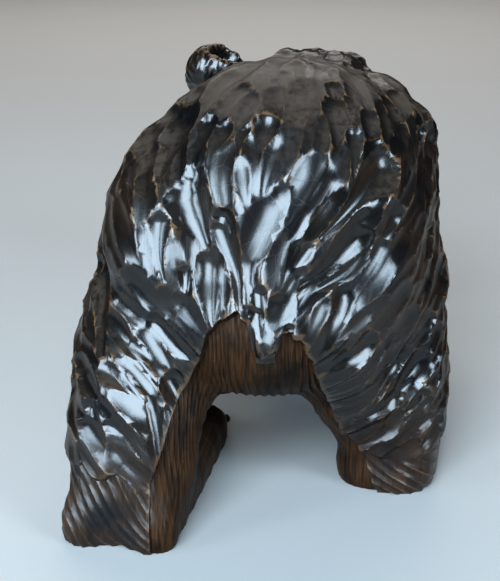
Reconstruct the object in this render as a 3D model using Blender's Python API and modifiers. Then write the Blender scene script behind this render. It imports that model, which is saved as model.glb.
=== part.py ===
"""A wooden bear, carved from one block, walking with its head turned to its left.

The bear stands on the XY plane and looks towards -Y; its left side is at +X. Masses are joined and
blended into one body, which a gouge then covers with overlapping scooped cuts. Places and radii
are shares of the bear's own width, length and height.
"""

import math
import random

import bmesh
import bpy
import numpy as np
from mathutils import Euler, Matrix, Vector

# Driving sizes, in metres
WIDTH = 0.21
LENGTH = 0.44
HEIGHT = 0.25
HEAD = 0.118            # unit of the head's own forms, a little more than the skull's width
FINE = 0.0028           # spacing of the mesh that is carved
TRIANGLES = 9600        # left after the carved mesh is simplified

# Pose of the head
HEAD_PLACE = (0.32, -0.335, 0.641)
HEAD_TURN = (math.radians(10), math.radians(-8), math.radians(48))

# Gouge cuts: width, length and depth of one scoop, in metres
BROAD = (0.0195, 0.060, 0.0042)     # the largest, over the middle of the rump
GROOVE = (0.0052, 0.036, 0.0012)    # under the tail, inside the legs and above the paws
SHIN = (0.0085, 0.042, 0.0016)      # slanting grooves above the hind paws
FACE = (0.0052, 0.014, 0.0009)
BARE_DEPTH = 0.0052     # how far the ground under the tail and inside the legs lies back
LOW_DEPTH = 0.0028      # and on the shins
LIFT = 0.0020           # the fur's ridges stand this far over the uncut form
HOLLOW = 0.78           # how far a scoop rises from its middle to twice its half width, in widths
TOP_HOLLOW = 0.55       # the same along the back, as a share of the others'
HEAD_SHARE = 0.16       # a scoop is deepest this far down its length
STEEP = (0.6, 1.2)      # how much faster its upper end rises than its sides
FOOT_SHARE = 0.92       # its floor comes out of the wood here
FOOT_CURVE = 1.25       # how late it rises on the way there
ROLL = 0.14             # steepest sideways slope of a scoop
TOP_DEPTH = 0.45        # depth of the cuts along the back, as a share of the others'
SPACING = (0.54, 0.50)  # between neighbouring cuts, as shares of their width and length
THROUGH = 0.020         # surfaces further apart than this along the normal don't share a cut
CELL = 0.032            # grid that finds a cut's neighbours
NEIGHBOURS = sorted(((x, y, z) for x in (-1, 0, 1) for y in (-1, 0, 1) for z in (-1, 0, 1)),
                    key=lambda move: sum(abs(value) for value in move))
SEED = 11

COLOUR = (0.022, 0.017, 0.015, 1.0)
ROUGHNESS = 0.34
METALLIC = 0.0

# Body masses: centre and radii
BODY = (
    ((0.030, 0.190, 0.650), (0.430, 0.225, 0.325)),     # hips
    ((-0.170, 0.140, 0.700), (0.235, 0.200, 0.230)),    # right hip
    ((0.024, 0.000, 0.640), (0.375, 0.250, 0.290)),     # loin
    ((0.020, -0.180, 0.605), (0.365, 0.170, 0.290)),    # shoulders
    ((0.130, -0.190, 0.805), (0.100, 0.110, 0.108)),    # hump, flat on top
    ((0.035, -0.190, 0.805), (0.110, 0.120, 0.108)),
    ((-0.065, -0.190, 0.805), (0.100, 0.110, 0.108)),
    ((0.040, -0.280, 0.540), (0.285, 0.125, 0.250)),    # chest
    ((0.020, 0.000, 0.500), (0.300, 0.240, 0.200)),     # belly
    ((0.290, 0.225, 0.530), (0.255, 0.200, 0.330)),     # left haunch
    ((-0.190, 0.200, 0.500), (0.217, 0.190, 0.330)),    # right haunch
    ((0.060, 0.345, 0.440), (0.320, 0.110, 0.192)),     # seat, over the arch of the hind legs
    ((-0.160, 0.300, 0.400), (0.150, 0.110, 0.190)),    # inner side of the right thigh
)

# Limbs and neck: places with a radius, as a share of the width, from the trunk outwards
LIMBS = (
    ((0.290, 0.235, 0.520, 0.272), (0.352, 0.335, 0.360, 0.222), (0.370, 0.405, 0.230, 0.195),
     (0.366, 0.435, 0.100, 0.182)),
    ((-0.200, 0.185, 0.520, 0.232), (-0.258, 0.225, 0.360, 0.194), (-0.282, 0.250, 0.230, 0.174),
     (-0.290, 0.255, 0.100, 0.168)),
    ((-0.080, 0.335, 0.430, 0.140), (-0.172, 0.312, 0.270, 0.142), (-0.230, 0.275, 0.140, 0.120)),
    ((0.235, -0.190, 0.520, 0.200), (0.245, -0.220, 0.330, 0.170), (0.265, -0.262, 0.120, 0.148)),
    ((-0.205, -0.175, 0.520, 0.200), (-0.215, -0.168, 0.330, 0.165), (-0.240, -0.130, 0.120, 0.146)),
    ((0.040, -0.240, 0.640, 0.275), (0.200, -0.305, 0.640, 0.250), (0.290, -0.318, 0.625, 0.228)),
)

# Paws: middle of the sole, half width and half length, turn in degrees, roundness of the heel
PAWS = (
    ((0.362, 0.357), 0.182, 0.174, -3, 0.48),
    ((-0.298, 0.197), 0.170, 0.145, -5, 0.78),
    ((0.272, -0.300), 0.155, 0.108, 6, 0.65),
    ((-0.245, -0.165), 0.155, 0.108, -8, 0.65),
)
PAW_RISE = 0.125        # height of a paw's back, as a share of the height
TOES = 5
CLAW = (0.0042, 0.0115, 0.0048)     # half width, half length and half height of a claw, in metres

# Tail: root and tip, with half width and half thickness as shares of the width
TAIL = ((0.010, 0.398, 0.600, 0.085, 0.045), (0.014, 0.446, 0.455, 0.036, 0.034))
TAIL_MIDDLE = 0.014
TAIL_TIP = 0.408

# Hem of the long fur over the bare ground behind: across the width, and its height there
HEM = ((-0.27, -0.22, -0.17, -0.12, -0.10, -0.07, -0.03, 0.05, 0.09, 0.13, 0.165, 0.18, 0.25, 0.30, 0.32),
       (0.0, 0.13, 0.19, 0.34, 0.42, 0.474, 0.490, 0.510, 0.524, 0.514, 0.475, 0.42, 0.29, 0.17, 0.0))
HEM_SCALLOP = 0.006     # how far the tufts' ends make it rise and fall
HEM_EDGE = 0.0045       # width of the step down from the fur, in metres


def at(x, y, z):
    """A place or a set of radii given as shares of width, length and height."""
    return Vector((x * WIDTH, y * LENGTH, z * HEIGHT))


def ball(bm, matrix, radii, rounds=24):
    """An ellipsoid of the given radii, in the frame of the matrix."""
    stretch = Matrix.Diagonal((*radii, 1.0))
    sphere = bmesh.new()
    bmesh.ops.create_uvsphere(sphere, u_segments=rounds, v_segments=rounds // 2, radius=1.0,
                              matrix=matrix @ stretch)
    mesh = bpy.data.meshes.new("ball")
    sphere.to_mesh(mesh)
    sphere.free()
    bm.from_mesh(mesh)
    bpy.data.meshes.remove(mesh)


def between(first, second, steps):
    """The stations on the way from one row of values to another."""
    for number in range(steps + 1):
        yield [a + (b - a) * number / steps for a, b in zip(first, second)]


def limb(bm, stations):
    """Balls strung closely between stations, each a place and a radius."""
    for first, second in zip(stations, stations[1:]):
        for x, y, z, radius in between(first, second, 7):
            ball(bm, Matrix.Translation(at(x, y, z)), [radius * WIDTH] * 3, 16)


def paw(bm, middle, half_width, half_length, turn, heel):
    """A flat-soled paw with a row of toes in front, each with a claw."""
    place = Matrix.Translation(at(*middle, 0.0)) @ Matrix.Rotation(math.radians(turn), 4, "Z")
    wide, far, high = half_width * WIDTH, half_length * LENGTH, PAW_RISE * HEIGHT
    ball(bm, place @ Matrix.Translation((0, 0, high * 0.30)), (wide * 0.96, far * 0.97, high))
    front, back = wide * 0.46, wide * heel
    for side in (-1, 1):
        fore = (side * (wide - front), -(far - front), front)
        rear = (side * (wide - back), far - back, back)
        for x, y, corner in between(fore, rear, 6):
            ball(bm, place @ Matrix.Translation((x, y, high * 0.2)), (corner, corner, high * 0.8), 16)
    for toe in range(TOES):
        side = 2 * toe / (TOES - 1) - 1
        spread = side * wide * 0.74
        reach = -far * (0.93 - 0.13 * side * side)
        toe_place = place @ Matrix.Translation((spread, reach, high * 0.30))
        ball(bm, toe_place, (wide * 0.23, wide * 0.36, high * 0.55), 16)
        tip = toe_place @ Matrix.Translation((0, -wide * 0.36, high * 0.05))
        ball(bm, tip @ Matrix.Rotation(math.radians(22), 4, "X"), CLAW, 12)


def new_object(name, bm):
    """Turn a bmesh into an object of the bear's collection."""
    mesh = bpy.data.meshes.new(name)
    bm.to_mesh(mesh)
    bm.free()
    thing = bpy.data.objects.new(name, mesh)
    bpy.data.collections["Bear"].objects.link(thing)
    return thing


def settle(thing):
    """Replace an object's mesh by its evaluated one and drop its modifiers."""
    graph = bpy.context.evaluated_depsgraph_get()
    mesh = bpy.data.meshes.new_from_object(thing.evaluated_get(graph))
    thing.modifiers.clear()
    thing.data = mesh


def blend(thing, voxel, rounds, strength=0.5):
    """Fuse an object's overlapping shells and smooth the joins between them."""
    fuse = thing.modifiers.new("Fuse", "REMESH")
    fuse.mode = "VOXEL"
    fuse.voxel_size = voxel
    soften = thing.modifiers.new("Soften", "SMOOTH")
    soften.factor = strength
    soften.iterations = rounds
    settle(thing)


def head_frame():
    """Where the head's own forms stand: its middle, turned as the head is."""
    return Matrix.Translation(at(*HEAD_PLACE)) @ Euler(HEAD_TURN).to_matrix().to_4x4()


def head_ball(bm, place, radii, rounds=24):
    """An ellipsoid placed and sized in units of the head."""
    frame = head_frame() @ Matrix.Translation(Vector(place) * HEAD)
    ball(bm, frame, [radius * HEAD for radius in radii], rounds)


def head_masses(bm):
    """Skull, brow, muzzle, jaw and cheeks."""
    head_ball(bm, (0.0, 0.02, 0.00), (0.430, 0.430, 0.385))
    head_ball(bm, (0.0, -0.19, 0.10), (0.310, 0.250, 0.220))
    head_ball(bm, (0.0, -0.44, -0.09), (0.220, 0.270, 0.190))
    head_ball(bm, (0.0, -0.62, -0.10), (0.185, 0.165, 0.155))
    head_ball(bm, (0.0, -0.42, -0.23), (0.175, 0.260, 0.120))
    for side in (-1, 1):
        head_ball(bm, (0.20 * side, -0.06, -0.15), (0.225, 0.290, 0.230))
        head_ball(bm, (0.24 * side, 0.08, 0.22), (0.200, 0.200, 0.170))


def head_details(bm):
    """Nose pad, eyes and upper lids."""
    head_ball(bm, (0.0, -0.745, -0.030), (0.095, 0.055, 0.065), 16)
    for side in (-1, 1):
        head_ball(bm, (0.195 * side, -0.375, 0.095), (0.050, 0.042, 0.044), 16)
        head_ball(bm, (0.195 * side, -0.350, 0.140), (0.085, 0.075, 0.036), 16)


def ear(side):
    """A thick round cup: a flattened ball with a smaller one scooped out of it."""
    frame = head_frame() @ Matrix.Translation(Vector((0.330 * side, 0.08, 0.325)) * HEAD)
    frame = frame @ Euler((math.radians(-38), math.radians(-10 * side), 0)).to_matrix().to_4x4()
    shell = bmesh.new()
    ball(shell, frame, (0.205 * HEAD, 0.145 * HEAD, 0.195 * HEAD))
    hollow = bmesh.new()
    ball(hollow, frame @ Matrix.Translation((0, 0, 0.13 * HEAD)),
         (0.152 * HEAD, 0.096 * HEAD, 0.170 * HEAD))
    cup = new_object("ear", shell)
    cutter = new_object("hollow", hollow)
    cut = cup.modifiers.new("Scoop", "BOOLEAN")
    cut.operation = "DIFFERENCE"
    cut.object = cutter
    settle(cup)
    bpy.data.objects.remove(cutter)
    return cup


def add_object(bm, thing):
    """Take another object's mesh into a bmesh and remove the object."""
    bm.from_mesh(thing.data)
    bpy.data.objects.remove(thing)


def base_form():
    """The uncarved bear: masses fused and smoothed, then the small forms fused on."""
    masses = bmesh.new()
    for centre, radii in BODY:
        ball(masses, Matrix.Translation(at(*centre)), at(*radii), 40)
    for stations in LIMBS:
        limb(masses, stations)
    for middle, half_width, half_length, turn, heel in PAWS:
        paw(masses, middle, half_width, half_length, turn, heel)
    head_masses(masses)
    body = new_object("bear", masses)
    blend(body, FINE * 1.4, 14)

    details = bmesh.new()
    for x, y, z, half_width, half_thick in between(*TAIL, 8):
        ball(details, Matrix.Translation(at(x, y, z)),
             (half_width * WIDTH, half_thick * WIDTH, half_width * WIDTH), 16)
    for middle, half_width, half_length, turn, heel in PAWS:
        paw(details, middle, half_width * 0.97, half_length * 0.98, turn, heel)
    head_details(details)
    for side in (-1, 1):
        add_object(details, ear(side))
    add_object(details, body)
    body = new_object("bear", details)
    blend(body, FINE, 3)
    return body


def vertex_arrays(mesh):
    """Vertex places and normals as arrays."""
    count = len(mesh.vertices)
    places = np.empty(count * 3)
    normals = np.empty(count * 3)
    mesh.vertices.foreach_get("co", places)
    mesh.vertices.foreach_get("normal", normals)
    return places.reshape(count, 3), normals.reshape(count, 3)


def step(value, low, high):
    """0 below the low end, 1 above the high end, and a smooth step between them."""
    share = min(max((value - low) / (high - low), 0.0), 1.0)
    return share * share * (3.0 - 2.0 * share)


def tail_outline(x, z):
    """How far inside the tail's outline a place lies from behind, in metres."""
    half_width = 0.021 + 0.30 * (z - 0.42)
    tip = TAIL_TIP + 12.0 * (x - TAIL_MIDDLE) ** 2
    return np.minimum((half_width - np.abs(x - TAIL_MIDDLE)) * WIDTH, (z - tip) * HEIGHT)


def on_tail(x, y, z):
    """True on the short tail, a tongue that hangs between two bare lobes."""
    return (y > 0.38) & (z < 0.60) & (tail_outline(x, z) > 0.0)


def bare_share(x, y, z):
    """1 under the tail and inside the legs, where the ground lies back; 0 on the long fur."""
    hem = np.interp(x, *HEM) - HEM_SCALLOP * np.abs(np.sin(60.0 * x + 45.0 * z))
    below_hem = (hem - z) * HEIGHT / HEM_EDGE
    beside_tail = np.where(y > 0.38, -tail_outline(x, z) / HEM_EDGE, 1.0)
    behind = np.maximum((y - 0.25) / 0.06, (0.40 - z) / 0.06)
    front = (y + 0.30) / 0.15
    return np.clip(np.minimum(np.minimum(below_hem, beside_tail), np.minimum(behind, front)), 0.0, 1.0)


def bare(x, y, z):
    """True where the ground lies back and is cut in narrow grooves."""
    return bare_share(x, y, z) > 0.5


def shares(place):
    """A place as shares of width, length and height."""
    return place[0] / WIDTH, place[1] / LENGTH, place[2] / HEIGHT


def cut_size(x, y, z, head):
    """Width, length and depth of the cuts at a place, and how much deeper that ground lies."""
    if head.length < 0.85 and head.y < -0.1:
        return FACE, LIFT
    if bare(x, y, z):
        return GROOVE, BARE_DEPTH
    if z < (0.18 if x > 0.0 else 0.12):
        return SHIN, LOW_DEPTH
    if head.length < 0.85 and head.y < 0.25:
        size = 0.50
    elif on_tail(x, y, z):
        size = 0.42 + 0.26 * step(z, 0.50, 0.58)
    else:
        size = 1.0 - 0.24 * step(-x, 0.10, 0.40) - 0.34 * step(0.60 - z, 0.0, 0.36)
        size = min(size, 1.0 - 0.22 * step(-y, 0.0, 0.2))
    top = step(z, 0.80, 0.95)
    width, length, depth = (value * size for value in BROAD)
    return (width * (1.0 - 0.35 * top), length * (1.0 + 0.4 * top),
            depth * (1.0 - top + TOP_DEPTH * top)), 0.0


def smooth_spots(place, head):
    """True on the eyes, nose, claws and soles, which stay uncut."""
    nose = head.y < -0.70
    eyes = abs(abs(head.x) - 0.20) < 0.07 and abs(head.y + 0.38) < 0.08 and abs(head.z - 0.11) < 0.07
    return nose or eyes or place[2] < 0.012 * HEIGHT


def flow(place, normal):
    """The way the hair lies: out and back on top, down the rump, inwards above the legs."""
    x, y, z = shares(place)
    fall = 0.55 + 1.2 * max(0.0, 0.55 - z)
    middle = 0.02 + 0.20 * (step(z, 0.50, 0.66) - step(z, 0.74, 0.86))
    outwards = 1.8 * step(z, 0.78, 0.95)
    inwards = 0.8 * step(0.86 - z, 0.0, 0.12) + 2.2 * step(0.62 - z, 0.0, 0.20)
    inwards *= step(normal[1], 0.0, 0.5)
    side = min(max((x - middle) * (outwards - inwards), -1.0), 1.0)
    way = Vector((side, 1.0, -fall))
    if bare(x, y, z):
        way = Vector((min(max(3.0 * (x - TAIL_MIDDLE), -0.6), 0.6), 0.0, -1.0))
    elif z < 0.18 and y > 0.30 and x > 0.0:
        way = Vector((-1.0, 0.0, -1.0))
    along = way - normal * way.dot(normal)
    if along.length < 0.15:
        along = Vector((0.0, -0.4, -1.0)) - normal * Vector((0.0, -0.4, -1.0)).dot(normal)
    return along.normalized()


def crowded(grid, key, place, frame, width, length):
    """True where an accepted stroke already lies within the spacing of a new one."""
    normal, along, across = frame
    for move in NEIGHBOURS:
        for other in grid.get((key[0] + move[0], key[1] + move[1], key[2] + move[2]), ()):
            offset = place - other["place"]
            u = offset.dot(along) / (SPACING[1] * (length + other["length"]) / 2)
            v = offset.dot(across) / (SPACING[0] * (width + other["width"]) / 2)
            n = offset.dot(normal) / THROUGH
            if u * u + v * v + n * n < 1.0:
                return True
    return False


def plan_cuts(places, normals, dice):
    """Scatter cuts over the surface, spaced by their own width and length."""
    order = list(range(len(places)))
    dice.shuffle(order)
    to_head = head_frame().inverted()
    grid = {}
    cuts = []
    for index in order:
        place, normal = Vector(places[index]), Vector(normals[index])
        head = to_head @ place / HEAD
        if smooth_spots(place, head):
            continue
        size, sunk = cut_size(*shares(place), head)
        width, length, depth = size
        along = flow(place, normal)
        across = normal.cross(along)
        over_edge = sunk == 0.0 and bare(*shares(place + along * length * 0.22))
        key = tuple(int(math.floor(value / CELL)) for value in place)
        if over_edge or crowded(grid, key, place, (normal, along, across), width, length):
            continue
        grow = dice.uniform(0.72, 1.32)
        lean = Matrix.Rotation(dice.uniform(-0.20, 0.20), 3, normal)
        cut = {"place": place, "normal": normal, "along": lean @ along, "across": lean @ across,
               "width": width * grow, "length": length * grow * dice.uniform(0.9, 1.2),
               "depth": depth * dice.uniform(0.50, 1.45), "sunk": sunk, "steep": dice.uniform(*STEEP),
               "roll": dice.uniform(-ROLL, ROLL) if sunk == 0.0 else 0.0, "hollow": 1.0}
        if sunk == 0.0:
            top = step(place[2] / HEIGHT, 0.80, 0.95)
            cut["hollow"] = HOLLOW * dice.uniform(0.75, 1.3) * (1.0 - top + TOP_HOLLOW * top)
        grid.setdefault(key, []).append(cut)
        cuts.append(cut)
    return cuts


def scoop(cut, u, v):
    """Height of a scoop's floor; u runs from 0 at its upper end to 1 at its lower end, v across it.

    It is a round trough with a round steep upper end. Its floor rises slowly to the lower end,
    which so stands proud over the start of the next one like a shingle.
    """
    upper = np.clip(HEAD_SHARE - u, 0.0, None) * cut["steep"] * cut["length"] / cut["width"]
    floor = np.clip((u - HEAD_SHARE) / (FOOT_SHARE - HEAD_SHARE), 0.0, None) ** FOOT_CURVE
    trough = cut["hollow"] * cut["width"] * (v ** 2 + upper ** 2)
    return cut["depth"] * (floor - 1.0) + trough + cut["roll"] * v * cut["width"] - cut["sunk"]


def lowest_scoops(places, normals, cuts):
    """How far each vertex moves along its normal: down to the lowest of the scoops over it."""
    order = np.argsort(places[:, 1])
    x, y, z = (np.ascontiguousarray(column) for column in places[order].T)
    sorted_normals = normals[order]
    lowest = -BARE_DEPTH * bare_share(*shares((x, y, z)))
    for cut in cuts:
        place, reach = cut["place"], cut["length"] * 0.85
        low, high = np.searchsorted(y, (place.y - reach, place.y + reach))
        index = low + np.flatnonzero(np.abs(z[low:high] - place.z) < reach)
        index = index[np.abs(x[index] - place.x) < reach]
        offset = np.stack((x[index] - place.x, y[index] - place.y, z[index] - place.z), axis=1)
        u = offset @ np.array(cut["along"]) / cut["length"] + 0.42
        v = offset @ np.array(cut["across"]) / cut["width"]
        facing = sorted_normals[index] @ np.array(cut["normal"])
        near = (np.abs(offset @ np.array(cut["normal"])) < THROUGH) & (facing > 0.25)
        near &= (u > -0.25) & (u < 1.5) & (np.abs(v) < 1.5)
        index = index[near]
        lowest[index] = np.minimum(lowest[index], scoop(cut, u[near], v[near]))
    back = np.empty(len(places), dtype=int)
    back[order] = np.arange(len(places))
    return lowest[back]


def carve(body):
    """Sink every vertex by the depth of the cut that it lies in.

    The bare ground lies back, and its narrow grooves are too fine for a solid of this many facets.
    """
    dice = random.Random(SEED)
    places, normals = vertex_arrays(body.data)
    cuts = [cut for cut in plan_cuts(places, normals, dice) if cut["sunk"] != BARE_DEPTH]
    lift = LIFT * np.clip(places[:, 2] / (0.10 * HEIGHT), 0.0, 1.0)
    moved = places + normals * (lowest_scoops(places, normals, cuts) + lift)[:, None]
    body.data.vertices.foreach_set("co", moved.ravel())
    body.data.update()


def simplify(body):
    """Fewer, larger facets, which follow the ridges of the carving."""
    fewer = body.modifiers.new("Fewer", "DECIMATE")
    fewer.ratio = TRIANGLES / (2.0 * len(body.data.polygons))
    settle(body)


def drop_crumbs(bm):
    """Keep the largest connected body alone."""
    left = set(bm.verts)
    bodies = []
    while left:
        body = [left.pop()]
        for vertex in body:
            for edge in vertex.link_edges:
                other = edge.other_vert(vertex)
                if other in left:
                    left.remove(other)
                    body.append(other)
        bodies.append(body)
    bodies.sort(key=len)
    for body in bodies[:-1]:
        bmesh.ops.delete(bm, geom=body, context="VERTS")


def flatten_soles(body):
    """Cut the soles flat on the ground and set the middle of the box over the origin."""
    bm = bmesh.new()
    bm.from_mesh(body.data)
    for vertex in bm.verts:
        if abs(vertex.co.z) < 0.0006:
            vertex.co.z = 0.0
    cut = bmesh.ops.bisect_plane(bm, geom=bm.verts[:] + bm.edges[:] + bm.faces[:], dist=1e-6,
                                 plane_co=(0, 0, 0), plane_no=(0, 0, 1), clear_inner=True)
    rim = [item for item in cut["geom_cut"] if isinstance(item, bmesh.types.BMEdge)]
    bmesh.ops.holes_fill(bm, edges=rim)
    drop_crumbs(bm)
    bmesh.ops.triangulate(bm, faces=bm.faces[:])
    bmesh.ops.recalc_face_normals(bm, faces=bm.faces[:])
    low = [min(vertex.co[axis] for vertex in bm.verts) for axis in range(2)]
    high = [max(vertex.co[axis] for vertex in bm.verts) for axis in range(2)]
    shift = Vector((-(low[0] + high[0]) / 2, -(low[1] + high[1]) / 2, 0.0))
    bmesh.ops.translate(bm, vec=shift, verts=bm.verts[:])
    bm.to_mesh(body.data)
    bm.free()


def wood():
    """Near-black stained and lacquered wood."""
    material = bpy.data.materials.new("stained_wood")
    material.use_nodes = True
    shader = material.node_tree.nodes["Principled BSDF"]
    shader.inputs["Base Color"].default_value = COLOUR
    shader.inputs["Roughness"].default_value = ROUGHNESS
    shader.inputs["Metallic"].default_value = METALLIC
    material.diffuse_color = COLOUR
    return material


def main():
    """Clear the scene, model the bear and dress it."""
    for thing in list(bpy.data.objects):
        bpy.data.objects.remove(thing)
    collection = bpy.data.collections.new("Bear")
    bpy.context.scene.collection.children.link(collection)
    body = base_form()
    carve(body)
    simplify(body)
    flatten_soles(body)
    body.data.materials.clear()
    body.data.materials.append(wood())


main()
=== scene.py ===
"""Looks of the carved wooden bear: the finely gouged surface, its lacquer and wear, and the studio.

The bear's form is made the way the solid was, from the same masses and one more over the tail, on a
much finer mesh. It is cut with broad gouge cuts and with smaller leaves inside them, and then set
into the solid's box. Places and radii are shares of the bear's own width, length and height, until
the finished piece moves into the frame.
"""

import math
import random

import bmesh
import bpy
import numpy as np
from mathutils import Euler, Matrix, Vector
from mathutils.kdtree import KDTree


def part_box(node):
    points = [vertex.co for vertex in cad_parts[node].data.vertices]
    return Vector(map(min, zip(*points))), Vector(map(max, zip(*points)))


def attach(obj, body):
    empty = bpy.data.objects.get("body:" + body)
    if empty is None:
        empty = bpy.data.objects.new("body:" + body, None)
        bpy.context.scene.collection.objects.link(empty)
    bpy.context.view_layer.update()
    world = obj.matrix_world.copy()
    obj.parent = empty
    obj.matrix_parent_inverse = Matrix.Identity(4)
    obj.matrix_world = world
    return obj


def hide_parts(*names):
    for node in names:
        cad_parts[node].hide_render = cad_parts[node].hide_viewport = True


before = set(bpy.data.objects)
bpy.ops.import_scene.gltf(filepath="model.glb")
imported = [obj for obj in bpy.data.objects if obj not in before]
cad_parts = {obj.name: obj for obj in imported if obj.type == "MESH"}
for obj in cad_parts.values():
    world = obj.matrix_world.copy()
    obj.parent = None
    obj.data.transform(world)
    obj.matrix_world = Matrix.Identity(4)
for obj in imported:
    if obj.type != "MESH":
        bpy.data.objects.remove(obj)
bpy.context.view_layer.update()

# Driving sizes of the bear, in metres
WIDTH = 0.21
LENGTH = 0.44
HEIGHT = 0.25
HEAD = 0.118            # unit of the head's own forms, a little more than the skull's width
FINE = 0.0028           # spacing of the mesh that the cuts are planned on
COARSE = 1.4 * FINE     # and of the one that fuses the masses
SMOOTHING = (14, 3)     # rounds of smoothing after the masses and after the small forms are fused
LEVELS = 2     # subdivisions of the planning mesh before it is carved
TRIANGLES = 196000      # aimed at when the carved mesh is simplified
SOLE_SNAP = 0.0003      # vertices as near as this to the ground are set on it
INSIDE = 0.9998         # most of the solid's box that the finished bear may fill
SHARP = math.radians(38)    # edges steeper than this are shaded sharp

# Pose of the head
HEAD_PLACE = (0.32, -0.335, 0.641)
HEAD_TURN = (math.radians(10), math.radians(-8), math.radians(48))

# Parts of the head, in its own unit: across, back and up from its middle
HEAD_REACH = 0.85       # the head's own cuts lie within this
FACE_BACK = -0.10       # the face ends here
NAPE = 0.25             # and the head's fur here
EAR_AREA = (0.15, 0.24)         # the ears lie further out and higher than this
NOSE_FRONT = -0.70      # the nose lies in front of this
EYE = (0.20, -0.38, 0.11)
EYE_REACH = (0.07, 0.08, 0.07)
EAR = (0.330, 0.08, 0.325)      # middle of an ear
EAR_TURN = (math.radians(-38), math.radians(-10))
EAR_SHELL = (0.208, 0.162, 0.198)
EAR_HOLLOW = (0.150, 0.098, 0.165)
EAR_HOLLOW_RISE = 0.13          # the hollow's middle over the shell's

# Gouge cuts: width, length and depth of one scoop, in metres
BROAD = (0.0200, 0.061, 0.0036)     # the largest, over the middle of the rump
FACE = (0.0060, 0.017, 0.0007)      # the short fur in front of the ears
LEAF = (0.0152, 0.047, 0.0032)      # leaves cut into the surface that the broad cuts leave
LEAF_BITE = (0.0009, 0.0018)        # how deep one goes below that surface
LEAF_COUNTS = (0, 1, 1, 2)          # how many one broad cut gets is drawn from these
SLIVER = (0.0078, 0.030, 0.0022)    # narrow leaves, cut last
SLIVER_BITE = (0.0004, 0.0011)
SLIVER_COUNTS = (0, 0, 1)

# Form of a scoop, whose length runs from 0 at its upper end to 1 at its lower end
MIDDLE = 0.42           # its place lies here
HEAD_SHARE = 0.16       # it is deepest here
FOOT_SHARE = 0.92       # its floor comes out of the wood here
FOOT_CURVE = 1.25       # how late the floor rises on the way there
MIDDLE_DEPTH = 0.74     # share of its depth that it has at its place
HOLLOW = 0.72           # how far it rises from its middle to twice its half width, in widths
LEAF_HOLLOW = 0.62      # the same in a leaf
TOP_HOLLOW = 0.60       # the same along the back, as a share of the others'
TOP_DEPTH = 0.45        # depth along the back, as a share of the others'
TAPER = 6.0             # how fast it narrows to its lower tip
TAPER_FROM = 0.35       # and from where
BEND_LEVEL = 0.04       # keeps a bent middle line on both sides of the straight one

# Size of the cuts, as a share of the broad ones
EAR_CUTS = 0.24
HEAD_CUTS = 0.50
TAIL_CUTS = (0.42, 0.26)        # at the tail's tip, and what is added at its root
LESS_RIGHT = 0.24       # what is lost on the right side
LESS_LOW = 0.34         # low on the legs
LESS_FRONT = 0.22       # and in front
LESS_TOP = (0.4, 0.35)  # depth and bite that a leaf loses along the back

# How far the cuts differ by chance: shares of the usual value, or radians
GROW = (0.72, 1.32)
LONGER = (0.9, 1.2)
DEEPER = (0.50, 1.45)
ROUNDER = (0.75, 1.3)
LEAN = 0.20             # turn away from the flow of the hair
STEEP = (0.6, 1.2)      # how much faster the upper end rises than the sides
ROLL = 0.14             # steepest sideways slope
BEND = 0.55             # how far the middle line may curve
LEAF_GROW = (0.65, 1.25)
LEAF_LONGER = (0.75, 1.15)
LEAF_ROUNDER = (0.7, 1.3)
LEAF_ASIDE = (0.10, 0.38)       # a leaf lies this far beside its broad cut's middle, in widths
LEAF_DOWN = (-0.10, 0.34)       # and this far down it, in lengths

# Way of the hair where the usual one would run straight into or out of the wood
DOWN = Vector((0.0, -0.4, -1.0))
SHORT = 0.15            # what is left of the usual one there, at most

# Reach and spacing of the cuts
SPACING = (0.54, 0.50)  # between neighbouring cuts, as shares of their width and length
THROUGH = 0.020         # surfaces further apart than this along the normal don't share a cut
FACING = 0.25           # nor do surfaces that turn further from it than this cosine
ALONG_SPAN = (-0.25, 1.5)       # part of its length that a scoop is worked out over
ACROSS_SPAN = 1.5       # and how far to each side, in widths
REACH = 0.85            # and how far round its place, in lengths
TIP_REACH = 0.22        # no cut where there is bare ground this far down from its place, in lengths
NEARBY = 0.075          # leaves look for other cuts within this
LEAFLESS = 0.34         # cuts narrower than this share of a broad one get no leaves
FULL_LEAVES = 0.85      # cuts wider than this share of a broad one get leaves of full size
CELL = 0.032            # grid that finds a cut's neighbours
NEIGHBOURS = sorted(((x, y, z) for x in (-1, 0, 1) for y in (-1, 0, 1) for z in (-1, 0, 1)),
                    key=lambda move: sum(abs(value) for value in move))

# Ground that the fur's cuts leave alone
BARE_DEPTH = 0.0052     # how far it lies back under the tail and inside the legs
LOW_DEPTH = 0.0028      # and on the shins and paws
FLUTE = (0.0056, 0.0011)        # spacing and depth of its long grooves
SEAT = 0.165            # place of the seat along the body, in metres
GROOVES_TURN = 0.10     # grooves further from the tail than this follow the turn of the thighs
CALM_FRONT = (0.15, 0.35)       # in front of this place they keep this share of their depth
CALM_HEEL = (0.17, 0.05, 0.7)   # below this height, over the second share, they lose the third
LIFT = 0.0020           # the fur's ridges stand this far over the uncut form
LIFT_FROM = 0.10        # height where the lift is full
SOLE = 0.012            # height of the soles' edge, which stays uncut
UV_SHIFT = 0.37         # between the streaks of neighbouring cuts
SEED = 11

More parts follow.
